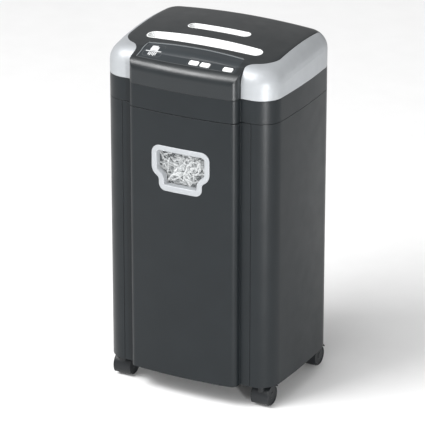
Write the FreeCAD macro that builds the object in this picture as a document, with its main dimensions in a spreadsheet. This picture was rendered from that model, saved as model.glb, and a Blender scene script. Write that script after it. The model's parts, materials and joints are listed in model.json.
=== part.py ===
import FreeCAD, Part
import Sketcher
import math
import os
import re
from types import SimpleNamespace
from FreeCAD import Placement, Rotation, Vector

# A deskside paper shredder on casters: a cabinet with a pull-out waste bin, and a cutting
# head on top of it. Millimetres, +Z up, the front faces -Y, and the origin is on the floor
# under the middle of the machine.

doc = FreeCAD.newDocument("paper_shredder")

# ---------------------------------------------------------------- driving dimensions

SIZES = {
    # cabinet, seen from above
    "half_width": 176.5, "side_bow": 3, "front_y": -117.5, "back_y": 142.5, "corner": 42,
    "wall": 3, "joint_gap": 0.7, "jamb_depth": 26, "liner_low": 58,
    # heights above the floor
    "cabinet_bottom": 45, "head_bottom": 572.6, "cap_bottom": 617.5, "crown_top": 693,
    # floor of the cabinet, with a boss and a sleeve over each caster
    "base_thick": 6, "boss": 11, "sleeve": 6.5, "sleeve_tall": 23,
    # back panel: its flanges, screws and air slits
    "flange_x": 121, "flange_low": 60, "flange_high": 565, "screw_x": 127, "screw_low": 90,
    "screw_step": 220, "screw_shank": 1.5, "screw_head": 3.6, "screw_drive": 1.4,
    "vent_half": 45, "vent_low": 445, "vent_step": 12, "vent_gap": 5,
    # the bulge down the middle of the front
    "bulge_half": 112.2, "bulge_front": -141.5, "bulge_bow": 5.6, "bulge_corner": 13,
    # roof of the head
    "crown_y": 60, "crown_length_radius": 900, "crown_width_radius": 1521,
    "crown_ahead": 260, "crown_behind": 200, "roof_roll": 34,
    # hood over the bulge: a sloped deck, cut from a ring that is turned a little past its sides
    "hood_roll": 24, "hood_slope": 19.4, "hood_lip": 659.9, "hood_run": 110, "hood_turn": 12,
    "hood_back": 75,
    # boundary between the dark cover and the shoulder caps
    "cover_half": 156,
    # drawer
    "drawer_half": 133.3, "drawer_depth": 20.5, "bin_half": 118, "bin_front": -95,
    "bin_back": 132, "bin_bottom": 62, "bin_top": 563, "bin_wall": 2.5, "bin_corner": 12,
    # the pile of shredded paper: a crust against the window, sloping down to the back
    "heap_low": 90, "heap_top": 521, "heap_fold": 392, "heap_end": 338, "heap_crust": 9,
    "heap_shelf": 18, "heap_knee": 90, "heap_lid": 12,
    # window in the drawer front
    "window_half": 60.2, "window_top": 507.7, "window_shoulder": 465.1, "window_bottom": 419.2,
    "window_low_half": 44.8, "window_round": 17, "window_low_round": 14, "window_hip": 21,
    "window_waist": 9, "bezel_band": 11.5, "bezel_proud": 1, "sill_band": 12.5,
    "bezel_back": 12, "lens_thick": 2,
    # drawer slides
    "rail_low": 150, "rail_height": 36, "rail_depth": 7.5, "rail_play": 2,
    "rail_wall": 2.5, "rail_lip": 5, "runner_short": 14,
    # openings in the roof
    "slot_half": 119.4, "slot_y": -44.9, "slot_end": 14, "slot_mouth": 9, "slot_exit": 639,
    "disc_half": 65, "disc_y": 14.3, "disc_end": 11.7, "disc_mouth": 6.5, "disc_exit": 639,
    "liner_wall": 1.8, "funnel_foot": 14, "funnel_deep": 22,
    # control panel and its buttons
    "panel_half": 100, "panel_back": -76.5, "panel_front": -120.5, "panel_recess": 1.5,
    "panel_plate": 2, "button_width": 19, "button_depth": 11, "button_tall": 7,
    "button_y": -114.4, "button_proud": 1.8, "button_round": 2.6, "button_edge": 0.8,
    "button_gap": 0.4, "board_half": 52, "board_deep": 14, "board_low": -7, "board_high": -5.4,
    "switch_half": 3, "switch_gap": 2.2,
    "start_x": 15, "stop_x": 38, "reverse_x": 84.7,
    # cutting unit
    "nip_y": -16, "cutter_z": 605, "shaft_spacing": 46, "cutter_disc": 25, "cutter_core": 20,
    "disc_pitch": 8, "disc_thick": 3.6, "cutter_reach": 112, "journal": 8, "frame_x": 121,
    "frame_plate": 4, "frame_top": 638, "plate_front": 58, "left_plate_back": 54,
    "right_plate_back": 120, "plate_bore": 6, "fit": 0.05, "bush": 11, "bush_in": 1.5,
    "bush_out": 1, "tie_rod": 4, "tie_neck": 2.5, "tie_reach": 47, "tie_end": 2, "exit_half": 48,
    "shaft_left": 128, "front_shaft_end": 139, "rear_shaft_end": 150, "drum_half": 117,
    "cutter_teeth": 8, "tooth_deep": 2.6, "tooth_back": 0.4, "tooth_wide": 3.6, "tooth_turn": 20,
    "comb_gap": 1.5, "comb_thick": 3, "comb_half": 8, "finger_half": 1, "finger_tall": 4,
    # gears
    "sync_teeth": 23, "sync_module": 2, "drive_teeth": 35, "drive_module": 1.5,
    "idler_pinion_teeth": 14, "idler_teeth": 50, "motor_teeth": 12, "motor_module": 1,
    "gear_face": 10, "wheel_face": 7, "idler_climb": 24, "motor_drop": 24, "idler_pin": 4,
    # motor
    "motor_case": 27, "motor_length": 80, "motor_shaft": 3, "motor_boss": 8, "case_wall": 3,
    "rotor_tail": 16, "rotor_end": 160, "core_gap": 8, "core_end": 14, "fan_blades": 7,
    "fan_hub": 6, "fan_wide": 10, "fan_reach": 23, "fan_thick": 1.6, "fan_twist": 28,
    "fan_start": 14,
    # casters
    "caster_x": 148, "caster_front": -97, "caster_back": 105, "caster_trail": 14,
    "wheel": 20, "wheel_width": 13, "web": 8, "axle": 2.5, "stem": 4, "hood_gap": 0.9,
    "hood_shell": 2.1, "hood_side": 1.2, "hood_low": 6, "hood_open": 12, "rib_back": 8,
    "collar": 7, "collar_low": 30, "stem_low": 38, "stem_top": 68, "hub_end": 2, "hub_rim": 3,
    "dish": 1.2, "tyre_rim": 3, "tyre_edge": 1.5,
    # mains inlet
    "inlet_x": -110, "inlet_z": 595, "inlet_half": 14, "inlet_tall": 10, "inlet_deep": 22,
    "inlet_wall": 1.8, "inlet_back": 3, "pin_start": 2, "pin_tip": 9, "pin_half_x": 1,
    "pin_half_z": 2,
    # power board
    "power_left": -150, "power_right": -60, "power_near": 60, "power_far": 112,
    "power_thick": 3,
}

sheet = doc.addObject("Spreadsheet::Sheet", "Sizes")
for row, (alias, amount) in enumerate(SIZES.items(), start=1):
    sheet.set(f"A{row}", alias)
    sheet.set(f"B{row}", str(amount))
    sheet.setAlias(f"B{row}", alias)
doc.recompute()
S = SimpleNamespace(**{alias: float(sheet.get(alias)) for alias in SIZES})

WORD = re.compile(r"[a-z_]+")
TURN = {"x": Rotation(Vector(0, 1, 0), 90), "y": Rotation(Vector(1, 0, 0), -90), "z": Rotation()}
BIG = 900
subparts = []


# ---------------------------------------------------------------- small tools

def bound(expression):
    """Give the sheet's names in an expression their sheet."""
    def owner(match):
        word = match.group(0)
        return f"Sizes.{word}" if word in SIZES else word
    return WORD.sub(owner, str(expression))


def keep(part, name):
    """List an object as a finished sub-part under its node name."""
    part.Label = name
    subparts.append(part)
    return part


def solid(name, shape):
    """A sub-part whose shape is computed here from the sheet's sizes."""
    part = doc.addObject("Part::Feature", name)
    part.Shape = shape
    return keep(part, name)


def box(name, x, y, z):
    """A box between two expressions on each axis."""
    part = doc.addObject("Part::Box", name)
    sides = zip(("Length", "Width", "Height"), "xyz", (x, y, z))
    for side, axis, (low, high) in sides:
        part.setExpression(side, bound(f"({high}) - ({low})"))
        part.setExpression(f"Placement.Base.{axis}", bound(low))
    return part


def rod(name, radius, along, start, length):
    """A round bar from a start point along one axis."""
    part = doc.addObject("Part::Cylinder", name)
    part.Placement = Placement(Vector(), TURN[along])
    part.setExpression("Radius", bound(radius))
    part.setExpression("Height", bound(length))
    for axis, place in zip("xyz", start):
        part.setExpression(f"Placement.Base.{axis}", bound(place))
    return part


def cut(name, base, *tools):
    """One body less one or more tools."""
    tool = tools[0]
    if len(tools) > 1:
        tool = fuse(f"{name}_tools", *tools)
    part = doc.addObject("Part::Cut", name)
    part.Base = base
    part.Tool = tool
    return part


def fuse(name, *parts):
    """Several bodies joined into one."""
    part = doc.addObject("Part::MultiFuse", name)
    part.Shapes = list(parts)
    part.Refine = True
    return part


def group(name, *parts):
    """Identical pieces that share one node as separate solids."""
    part = doc.addObject("Part::Compound", name)
    part.Links = list(parts)
    return keep(part, name)


def origin_plane(body, role):
    """One of a body's own origin planes."""
    return next(item for item in body.Origin.OriginFeatures if item.Role == role)


def outline(sketch, points):
    """A closed polygon whose corners are bound to the sheet."""
    places = [[float(sheet.evalExpression(bound(c))) for c in point] for point in points]
    count = len(points)
    for index, place in enumerate(places):
        after = places[(index + 1) % count]
        sketch.addGeometry(Part.LineSegment(Vector(*place, 0), Vector(*after, 0)))
    for index in range(count):
        sketch.addConstraint(Sketcher.Constraint("Coincident", index, 2, (index + 1) % count, 1))
    for index, point in enumerate(points):
        for kind, text, amount in zip(("DistanceX", "DistanceY"), point, places[index]):
            rule = sketch.addConstraint(Sketcher.Constraint(kind, -1, 1, index, 1, amount))
            sketch.setExpression(f"Constraints[{rule}]", bound(text))


def design(name, role, points):
    """A new body with one closed sketch on an origin plane."""
    body = doc.addObject("PartDesign::Body", name)
    sketch = body.newObject("Sketcher::SketchObject", f"{name}_sketch")
    sketch.AttachmentSupport = [(origin_plane(body, role), "")]
    sketch.MapMode = "FlatFace"
    outline(sketch, points)
    return body, sketch


def padded(name, role, points, thickness):
    """A plate: a polygon padded by a thickness."""
    body, sketch = design(name, role, points)
    pad = body.newObject("PartDesign::Pad", f"{name}_pad")
    pad.Profile = sketch
    pad.setExpression("Length", bound(thickness))
    sketch.Visibility = False
    return body


def turned(name, points):
    """A turned part: a profile of (axial, radial) points spun about X."""
    body, sketch = design(name, "XY_Plane", points)
    spin = body.newObject("PartDesign::Revolution", f"{name}_spin")
    spin.Profile = sketch
    spin.ReferenceAxis = (sketch, ["H_Axis"])
    spin.Angle = 360
    return body


def softened(body, name, radius, choose):
    """Round the chosen edges of a body's last feature."""
    doc.recompute()
    last = body.Tip
    edges = [f"Edge{i}" for i, edge in enumerate(last.Shape.Edges, start=1) if choose(edge)]
    fillet = body.newObject("PartDesign::Fillet", name)
    fillet.Base = (last, edges)
    fillet.setExpression("Radius", bound(radius))
    return body


def path_face(*steps):
    """A face from points joined by lines; a pair of points is an arc through its middle."""
    edges = []
    here = steps[0]
    for step in [*steps[1:], steps[0]]:
        if isinstance(step[0], tuple):
            middle, there = step
            edges.append(Part.Arc(Vector(*here, 0), Vector(*middle, 0), Vector(*there, 0)))
        else:
            there = step
            if math.dist(here, there) > 1e-6:
                edges.append(Part.LineSegment(Vector(*here, 0), Vector(*there, 0)))
        here = there
    return Part.Face(Part.Wire([edge.toShape() for edge in edges]))


def prism(face, low, high):
    """A flat face in plan stood up between two heights."""
    face = face.copy()
    face.translate(Vector(0, 0, low))
    return face.extrude(Vector(0, 0, high - low))


def block(x, y, z):
    """A plain box between limits, as a shape."""
    return Part.makeBox(x[1] - x[0], y[1] - y[0], z[1] - z[0], Vector(x[0], y[0], z[0]))


def one(shape):
    """The single solid of a boolean's result."""
    solids = shape.Solids
    if len(solids) != 1:
        raise RuntimeError(f"expected one solid, found {len(solids)}")
    return solids[0]


def bar(radius, along, start, length):
    """A round bar as a shape."""
    return Part.makeCylinder(radius, length, Vector(*start), Vector(*along))


# ---------------------------------------------------------------- outlines in plan

DIAGONAL = math.sqrt(0.5)


def cabinet_plan(inset=0.0):
    """Rounded rectangle with slightly bowed sides."""
    x = S.half_width - inset
    front = S.front_y + inset
    back = S.back_y - inset
    r = S.corner - inset
    middle = (front + back) / 2
    leg = r * (1 - DIAGONAL)
    bow = x + S.side_bow
    return path_face(
        (-(x - r), front), (x - r, front),
        ((x - leg, front + leg), (x, front + r)),
        ((bow, middle), (x, back - r)),
        ((x - leg, back - leg), (x - r, back)),
        (-(x - r), back),
        ((-(x - leg), back - leg), (-x, back - r)),
        ((-bow, middle), (-x, front + r)),
        ((-(x - leg), front + leg), (-(x - r), front)))


def bulge_plan(inset=0.0, back=None):
    """The raised middle of the front, run back into the machine."""
    x = S.bulge_half - inset
    r = max(S.bulge_corner - inset, 2)
    tip = S.bulge_front + inset
    side = tip + S.bulge_bow
    leg = r * (1 - DIAGONAL)
    back = S.front_y + 40 if back is None else back
    return path_face(
        (-x, back), (-x, side + r),
        ((-(x - leg), side + leg), (-(x - r), side)),
        ((0, tip), (x - r, side)),
        ((x - leg, side + leg), (x, side + r)),
        (x, back))


def bow_radius():
    """Radius of the bulge's gentle bow in plan."""
    half = S.bulge_half - S.bulge_corner
    return (half ** 2 + S.bulge_bow ** 2) / (2 * S.bulge_bow)


# ---------------------------------------------------------------- cabinet

def cabinet():
    """Base, double-walled sides, back panel, its screws and the sockets for the casters."""
    top = S.head_bottom - S.joint_gap
    inner = S.drawer_half + S.joint_gap
    shell = prism(cabinet_plan(), S.cabinet_bottom, top)
    skin = shell.cut(prism(cabinet_plan(S.wall), S.cabinet_bottom, S.head_bottom))
    for side, name in ((-1, "left_side_panel"), (1, "right_side_panel")):
        half = block(sorted((side * inner, side * BIG)), (-BIG, BIG), (0, BIG))
        lining = sorted((side * inner, side * (inner + S.wall)))
        front = S.front_y + 0.5
        liner = block(lining, (front, S.back_y - 1), (S.liner_low, top))
        jamb = block(lining, (front, front + S.jamb_depth - 0.5), (S.cabinet_bottom, top))
        flange = block(sorted((side * S.flange_x, side * (inner + 1))),
                       (S.back_y - 2 * S.wall, S.back_y - S.wall - 0.1),
                       (S.flange_low, S.flange_high))
        panel = skin.common(half).fuse([liner, jamb, flange]).removeSplitter()
        for x, z in screw_places():
            panel = panel.cut(bar(S.screw_shank, (0, 1, 0), (x, S.back_y - 14, z), 14))
        solid(name, one(panel))

    floor = S.cabinet_bottom + 1
    base = prism(cabinet_plan(S.wall + 0.2), floor, floor + S.base_thick)
    base = base.cut(block((-inner - 1, inner + 1), (-BIG, S.front_y + S.drawer_depth + 2), (0, BIG)))
    for side in (-1, 1):
        notch = sorted((side * (inner - 0.2), side * (inner + S.wall + 0.2)))
        base = base.cut(block(notch, (S.front_y, S.front_y + S.jamb_depth + 0.2), (0, BIG)))
    for x, y in caster_places():
        base = base.fuse(bar(S.boss, (0, 0, 1), (x, y, floor), S.sleeve_tall))
    for x, y in caster_places():
        base = base.cut(bar(S.sleeve, (0, 0, 1), (x, y, 0), BIG))
    solid("base_plate", one(base.removeSplitter()))

    sleeves = []
    for index, (x, y) in enumerate(caster_places()):
        start = (x, y, "cabinet_bottom + 1")
        outer = rod(f"sleeve_{index}", "sleeve", "z", start, "sleeve_tall")
        hole = rod(f"sleeve_hole_{index}", "stem + fit", "z", start, "sleeve_tall")
        sleeves.append(cut(f"caster_sleeve_{index}", outer, hole))
    group("caster_sockets", *sleeves)
    back_panel()


def back_panel():
    """The flat back with its air slits, held by six screws."""
    plate = box("back_plate", ("-drawer_half", "drawer_half"), ("back_y - wall", "back_y"),
                ("cabinet_bottom", "head_bottom - joint_gap"))
    vents = []
    for index in range(7):
        low = f"vent_low + {index} * vent_step"
        vents.append(box(f"vent_{index}", ("-vent_half", "vent_half"),
                         ("back_y - 2 * wall", "back_y + 1"), (low, f"{low} + vent_gap")))
    holes = []
    screws = []
    for index, (x, z) in enumerate(screw_places()):
        start = (x, "back_y - wall", z)
        holes.append(rod(f"screw_hole_{index}", "screw_head + 0.1", "y", start, "2 * wall"))
        head = rod(f"screw_top_{index}", "screw_head", "y", start, "wall - 0.8")
        shank = rod(f"screw_stem_{index}", "screw_shank", "y",
                    (x, "back_y - 2 * wall - 5", z), "wall + 5")
        drive = rod(f"screw_recess_{index}", "screw_drive", "y",
                    (x, "back_y - wall + 1", z), "wall")
        screws.append(cut(f"back_screw_{index}", fuse(f"screw_{index}", head, shank), drive))
    keep(cut("back_panel_solid", plate, *vents, *holes), "back_panel")
    group("back_panel_screws", *screws)


def screw_places():
    """Places of the back panel's screws, in X and Z."""
    heights = [S.screw_low + index * S.screw_step for index in range(3)]
    return [(x, z) for x in (-S.screw_x, S.screw_x) for z in heights]


def caster_places():
    """Plan positions of the caster stems: front left, front right, back left, back right."""
    rows = (S.caster_front, S.caster_back)
    return [(x, y) for y in rows for x in (-S.caster_x, S.caster_x)]


# ---------------------------------------------------------------- casters

def casters():
    """Four hooded twin-wheel casters, each trailing towards the back."""
    for name, (x, y) in zip(("fl", "fr", "bl", "br"), caster_places()):
        hub = y + S.caster_trail
        width = S.web + 2 * (S.wheel_width + S.hood_side)
        inner = S.wheel + S.hood_gap
        outer = inner + S.hood_shell
        fender = bar(outer, (1, 0, 0), (x - width / 2, hub, S.wheel), width)
        fender = fender.cut(bar(inner, (1, 0, 0), (x - width / 2 - 1, hub, S.wheel), width + 2))
        fender = fender.cut(block((x - BIG, x + BIG), (hub - BIG, hub + BIG), (-BIG, S.hood_low)))
        away = block((x - BIG, x + BIG), (hub, hub + BIG), (-BIG, S.wheel + S.hood_open))
        fender = fender.cut(away)
        web = bar(S.wheel - 2, (1, 0, 0), (x - S.web / 2 + 0.5, hub, S.wheel), S.web - 1)
        rib = block((x - S.web / 2 + 0.5, x + S.web / 2 - 0.5), (hub - inner - 1, hub + S.rib_back),
                    (S.wheel, S.wheel + inner + 0.5))
        rib = rib.common(bar(inner + 1, (1, 0, 0), (x - BIG, hub, S.wheel), 2 * BIG))
        collar = bar(S.collar, (0, 0, 1), (x, y, S.collar_low), S.cabinet_bottom - 1 - S.collar_low)
        collar = collar.cut(bar(inner + 0.2, (1, 0, 0), (x - BIG, hub, S.wheel), 2 * BIG))
        stem = bar(S.stem, (0, 0, 1), (x, y, S.stem_low), S.stem_top - S.stem_low)
        stem = stem.cut(bar(inner + 0.2, (1, 0, 0), (x - BIG, hub, S.wheel), 2 * BIG))
        frame = fender.fuse([web, rib, collar, stem]).removeSplitter()
        frame = frame.cut(bar(S.axle, (1, 0, 0), (x - BIG, hub, S.wheel), 2 * BIG))
        solid(f"caster_hood_{name}", one(frame))

        span = S.web + 2 * (S.wheel_width - S.hub_end - 0.5)
        pin = rod(f"caster_axle_{name}", "axle", "x", (x - span / 2, hub, "wheel"), span)
        keep(pin, f"caster_axle_{name}")
        for side, letter in ((-1, "a"), (1, "b")):
            near = S.web / 2
            tyre = turned(f"caster_wheel_{name}_{letter}", [
                (0, "axle + fit"), ("wheel_width - hub_end", "axle + fit"),
                ("wheel_width - hub_end", 0), ("wheel_width", 0), ("wheel_width", "axle + hub_rim"),
                ("wheel_width - dish", "axle + hub_rim + dish"),
                ("wheel_width - dish", "wheel - tyre_rim - dish"),
                ("wheel_width", "wheel - tyre_rim"), ("wheel_width", "wheel - tyre_edge"),
                ("wheel_width - tyre_edge", "wheel"), (1, "wheel"), (0, "wheel - 1")])
            flip = Rotation(Vector(0, 0, 1), 0 if side > 0 else 180)
            tyre.Placement = Placement(Vector(x + side * near, hub, S.wheel), flip)
            keep(tyre, f"caster_wheel_{name}_{letter}")


# ---------------------------------------------------------------- drawer

def window_outline(inset, sill=None):
    """The window's outline facing the front, as (x, z): broad hips over a narrower foot."""
    top = S.window_top - inset
    wide = S.window_half - inset
    low = S.window_low_half - inset
    bottom = S.window_bottom + (inset if sill is None else sill)
    upper = max(S.window_round - inset, 4)
    lower = max(S.window_low_round - inset, 4)
    # the hip's arc touches the waist's arc on the line between their centres
    reach = S.window_hip + S.window_waist
    aside = S.window_low_half + S.window_waist - (S.window_half - S.window_hip)
    touch = math.acos(aside / reach)
    hip = (S.window_half - S.window_hip, S.window_shoulder)
    waist = (hip[0] + aside, hip[1] - reach * math.sin(touch))

    def hip_point(turn):
        radius = S.window_hip - inset
        return hip[0] + radius * math.cos(turn), hip[1] - radius * math.sin(turn)

    def waist_point(turn):
        radius = S.window_waist + inset
        return waist[0] - radius * math.cos(turn), waist[1] + radius * math.sin(turn)

    upper_leg = upper * (1 - DIAGONAL)
    lower_leg = lower * (1 - DIAGONAL)
    right = [
        (wide - upper, top), ((wide - upper_leg, top - upper_leg), (wide, top - upper)),
        hip_point(0),
        (hip_point(touch / 2), hip_point(touch)),
        (waist_point(touch / 2), waist_point(0)),
        (low, bottom + lower),
        ((low - lower_leg, bottom + lower_leg), (low - lower, bottom))]
    ends = [step[1] if isinstance(step[0], tuple) else step for step in right]
    left = [(-ends[-1][0], ends[-1][1])]
    for index in range(len(right) - 1, 0, -1):
        there = (-ends[index - 1][0], ends[index - 1][1])
        if isinstance(right[index][0], tuple):
            middle = right[index][0]
            left.append(((-middle[0], middle[1]), there))
        else:
            left.append(there)
    return path_face(*right, *left)


def through_front(face, front, back):
    """Stand an (x, z) outline up and run it from front to back."""
    face = face.copy()
    face.rotate(Vector(), Vector(1, 0, 0), 90)
    face.translate(Vector(0, front, 0))
    return face.extrude(Vector(0, back - front, 0))


def drawer():
    """The drawer's hollow front with its window and bezel, and all that slides with it."""
    low = S.cabinet_bottom
    top = S.head_bottom - S.joint_gap - 0.5
    back = S.front_y + S.drawer_depth
    half = S.drawer_half
    slab = block((-half, half), (S.front_y, back), (low, top))
    front = slab.fuse(prism(bulge_plan(0, back), low, top))
    hollow = block((-half + S.wall, half - S.wall), (S.front_y + S.wall, back + 1),
                   (low + S.wall, top - S.wall))
    hollow = hollow.fuse(prism(bulge_plan(S.wall, back + 1), low + S.wall, top - S.wall))
    front = front.cut(hollow)
    front = front.cut(through_front(window_outline(-0.5), -BIG, back + 1))
    solid("drawer_front", one(front.removeSplitter()))

    glazing = S.front_y - S.bezel_back
    ring = through_front(window_outline(0), -BIG, glazing)
    ring = ring.cut(through_front(window_outline(S.bezel_band, S.sill_band), -BIG, BIG))
    ring = ring.common(prism(bulge_plan(-S.bezel_proud), low, top))
    solid("window_bezel", one(ring))
    lens = through_front(window_outline(1.5), glazing, glazing + S.lens_thick)
    solid("window_lens", one(lens))
    waste_bin()
    slides()
    heap()


def waste_bin():
    """The bin behind the drawer's front, open at the top, with a tunnel up to the window."""
    outer = padded("bin_outer", "XY_Plane", [
        ("-bin_half", "bin_front"), ("bin_half", "bin_front"),
        ("bin_half", "bin_back"), ("-bin_half", "bin_back")], "bin_top - bin_bottom")
    outer.setExpression("Placement.Base.z", bound("bin_bottom"))
    outer = softened(outer, "bin_corners", "bin_corner", lambda edge: upright(edge, 100))
    inside = padded("bin_inner", "XY_Plane", [
        ("-bin_half + bin_wall", "bin_front + bin_wall"),
        ("bin_half - bin_wall", "bin_front + bin_wall"),
        ("bin_half - bin_wall", "bin_back - bin_wall"),
        ("-bin_half + bin_wall", "bin_back - bin_wall")], "bin_top - bin_bottom")
    inside.setExpression("Placement.Base.z", bound("bin_bottom + bin_wall"))
    inside = softened(inside, "bin_inner_corners", "bin_corner - bin_wall",
                      lambda edge: upright(edge, 100))
    behind_lens = "front_y - bezel_back + lens_thick + 0.3"
    tunnel = box("bin_tunnel", ("-window_half - bin_wall", "window_half + bin_wall"),
                 (behind_lens, "bin_front + 1"),
                 ("window_bottom - bin_wall", "window_top + bin_wall"))
    view = box("bin_window", ("-window_half", "window_half"),
               (f"{behind_lens} - 1", "bin_front + 5"), ("window_bottom", "window_top"))
    keep(cut("bin_shell", fuse("bin_outside", outer, tunnel), inside, view), "waste_bin")


def slides():
    """Grooved rails on the cabinet's lining, and the runners on the bin that ride in them."""
    runners = []
    rails = []
    for side, tag in ((-1, "left"), (1, "right")):
        inner = side * (S.drawer_half + S.joint_gap)
        ends = sorted((inner, inner - side * S.rail_depth))
        channel = box(f"rail_{tag}", ends, ("bin_front + 1", "bin_back + 2"),
                      ("rail_low", "rail_low + rail_height"))
        mouth = sorted((inner - side * S.rail_wall, inner - side * (S.rail_depth + 1)))
        groove = box(f"rail_groove_{tag}", mouth, ("bin_front", "bin_back + 3"),
                     ("rail_low + rail_lip", "rail_low + rail_height - rail_lip"))
        rails.append(cut(f"cabinet_rail_{tag}", channel, groove))
        reach = sorted((side * S.bin_half, inner - side * (S.rail_wall + S.rail_play)))
        runners.append(box(f"runner_{tag}", reach, ("bin_front + 4", "bin_back - runner_short"),
                           ("rail_low + rail_lip + rail_play",
                            "rail_low + rail_height - rail_lip - rail_play")))
    group("cabinet_rails", *rails)
    group("drawer_runners", *runners)


def heap():
    """The shredded paper: a folded crust, open in the middle, that fills the window's tunnel."""
    side = S.bin_half - S.bin_wall - 10
    front = S.bin_front + S.bin_wall + 0.5
    back = S.bin_back - 5
    corners = [(front, S.heap_low), (front, S.heap_top), (front + S.heap_shelf, S.heap_top),
               (front + S.heap_knee, S.heap_fold), (back, S.heap_end),
               (back, S.heap_end - S.heap_crust),
               (front + S.heap_knee - S.heap_crust / 2, S.heap_fold - S.heap_crust),
               (front + S.heap_crust, S.heap_top - S.heap_lid),
               (front + S.heap_crust, S.heap_low), (front, S.heap_low)]
    profile = Part.Face(Part.makePolygon([Vector(-side, y, z) for y, z in corners]))
    pile = profile.extrude(Vector(2 * side, 0, 0))
    reach = S.window_half - 3
    plug = block((-reach, reach), (S.front_y - S.bezel_back + S.lens_thick + 1, front + 1),
                 (S.window_bottom + 0.5, S.window_top - 5))
    solid("shredded_paper", one(pile.fuse(plug).removeSplitter()))


def upright(edge, length):
    """Whether an edge is vertical and at least so long."""
    bounds = edge.BoundBox
    return bounds.ZLength > length and bounds.XLength < 0.01 and bounds.YLength < 0.01


# ---------------------------------------------------------------- head covers

def crown_solid(inset):
    """Crowned block, curved by one radius across X and another along Y."""
    along = S.crown_length_radius - inset
    across = S.crown_width_radius - S.crown_length_radius
    ahead = S.crown_y - S.crown_ahead
    behind = S.crown_y + S.crown_behind
    top = Part.Arc(Vector(0, ahead, rise(S.crown_ahead, inset)),
                   Vector(0, S.crown_y, S.crown_top - inset),
                   Vector(0, behind, rise(S.crown_behind, inset))).toShape()
    start = Vector(0, ahead, S.cabinet_bottom)
    end = Vector(0, behind, S.cabinet_bottom)
    first = Part.makeLine(start, top.Vertexes[0].Point)
    last = Part.makeLine(top.Vertexes[-1].Point, end)
    side = Part.Face(Part.Wire([first, top, last, Part.makeLine(end, start)]))
    pivot = Vector(0, 0, S.crown_top - along - across)
    turn = math.degrees(math.asin(S.crown_ahead / S.crown_width_radius))
    side.rotate(pivot, Vector(0, 1, 0), -turn)
    return side.revolve(pivot, Vector(0, 1, 0), 2 * turn)


def rise(away, inset):
    """Height of the roof's centre line at a distance in Y from its top."""
    radius = S.crown_length_radius - inset
    return S.crown_top - inset - radius + math.sqrt(radius ** 2 - away ** 2)


def body_block(inset, low):
    """The rounded block of the head with its rolled top edge."""
    block_shape = one(prism(cabinet_plan(inset), low, BIG).common(crown_solid(inset)))
    # only the edges that run round the roof, not the upright ones of the corners
    rim = [edge for edge in block_shape.Edges
           if edge.BoundBox.ZMin > S.cap_bottom + 20 and edge.BoundBox.ZLength < 40]
    return block_shape.makeFillet(S.roof_roll - inset, rim)


def hood_block(inset, low):
    """The hood over the bulge: a sloped deck that rolls down into the front."""
    slope = math.radians(S.hood_slope)
    face = S.bulge_front + inset
    lip = S.hood_lip - inset * (1 - math.sin(slope)) / math.cos(slope)
    r = S.hood_roll - inset
    reach = r * math.tan((math.pi / 2 - slope) / 2)
    start = Vector(0, face, lip - reach)
    end = Vector(0, face + reach * math.cos(slope), lip + reach * math.sin(slope))
    centre = Vector(0, face + r, lip - reach)
    aim = (math.pi + math.pi / 2 + slope) / 2
    middle = centre + Vector(0, r * math.cos(aim), r * math.sin(aim))
    far = end + Vector(0, math.cos(slope), math.sin(slope)) * S.hood_run
    edges = [
        Part.makeLine(Vector(0, face, low), start),
        Part.Arc(start, middle, end).toShape(),
        Part.makeLine(end, far),
        Part.makeLine(far, Vector(0, far.y, low)),
        Part.makeLine(Vector(0, far.y, low), Vector(0, face, low))]
    side = Part.Face(Part.Wire(edges))
    pivot = Vector(0, S.bulge_front + bow_radius(), 0)
    side.rotate(pivot, Vector(0, 0, 1), -S.hood_turn)
    deck = side.revolve(pivot, Vector(0, 0, 1), 2 * S.hood_turn)
    hood = prism(bulge_plan(inset, S.front_y + S.hood_back), low, BIG).common(deck)
    return one(hood.common(crown_solid(inset)))


def head_block(inset, low):
    """The whole head's outer form, or the same form set in by a distance."""
    return one(body_block(inset, low).fuse(hood_block(inset, low)).removeSplitter())


def cover_plan(gap):
    """Plan of the dark top cover between the two shoulder caps."""
    neck = S.bulge_half - gap
    wide = S.cover_half - gap
    return path_face(
        (-neck, -BIG), (neck, -BIG), (neck, -100.1),
        ((neck + 5.5, -91.5), (neck + 18, -82.5)),
        ((neck + 33, -70.5), (wide, -44)),
        (wide, BIG), (-wide, BIG), (-wide, -44),
        ((-(neck + 33), -70.5), (-(neck + 18), -82.5)),
        ((-(neck + 5.5), -91.5), (-neck, -100.1)))


def slot_plan(inset):
    """Outline of the paper slot, a long shape with round ends."""
    r = S.slot_end - inset
    x = S.slot_half - S.slot_end
    y = S.slot_y
    bow = 3 - inset * 0.1
    return path_face(
        (-x, y - r), ((0, y - r - 2), (x, y - r)), ((x + r, y), (x, y + r)),
        ((0, y + r + bow), (-x, y + r)), ((-x - r, y), (-x, y - r)))


def disc_plan(inset):
    """Outline of the disc slot."""
    r = S.disc_end - inset
    x = S.disc_half - S.disc_end
    y = S.disc_y
    return path_face((-x, y - r), (x, y - r), ((x + r, y), (x, y + r)),
                     (-x, y + r), ((-x - r, y), (-x, y - r)))


def panel_plan(inset):
    """Outline of the control panel's recess."""
    x = S.panel_half - inset
    back = S.panel_back - inset
    front = S.panel_front + inset
    return path_face((-x - 3, front), ((0, front - 5), (x + 3, front)), (x, back),
                     ((0, back + 4), (-x, back)))


def hood_normal():
    """Outward normal of the hood's sloped deck."""
    slope = math.radians(S.hood_slope)
    return Vector(0, -math.sin(slope), math.cos(slope))


def deck_height(x, y):
    """Height of the hood's sloped deck over a point in plan."""
    axis = S.bulge_front + bow_radius()
    radial = axis - math.hypot(x, axis - y)
    return S.hood_lip + (radial - S.bulge_front) * math.tan(math.radians(S.hood_slope))


BUTTONS = {"start_button": "start_x", "stop_button": "stop_x", "reverse_button": "reverse_x"}


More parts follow.
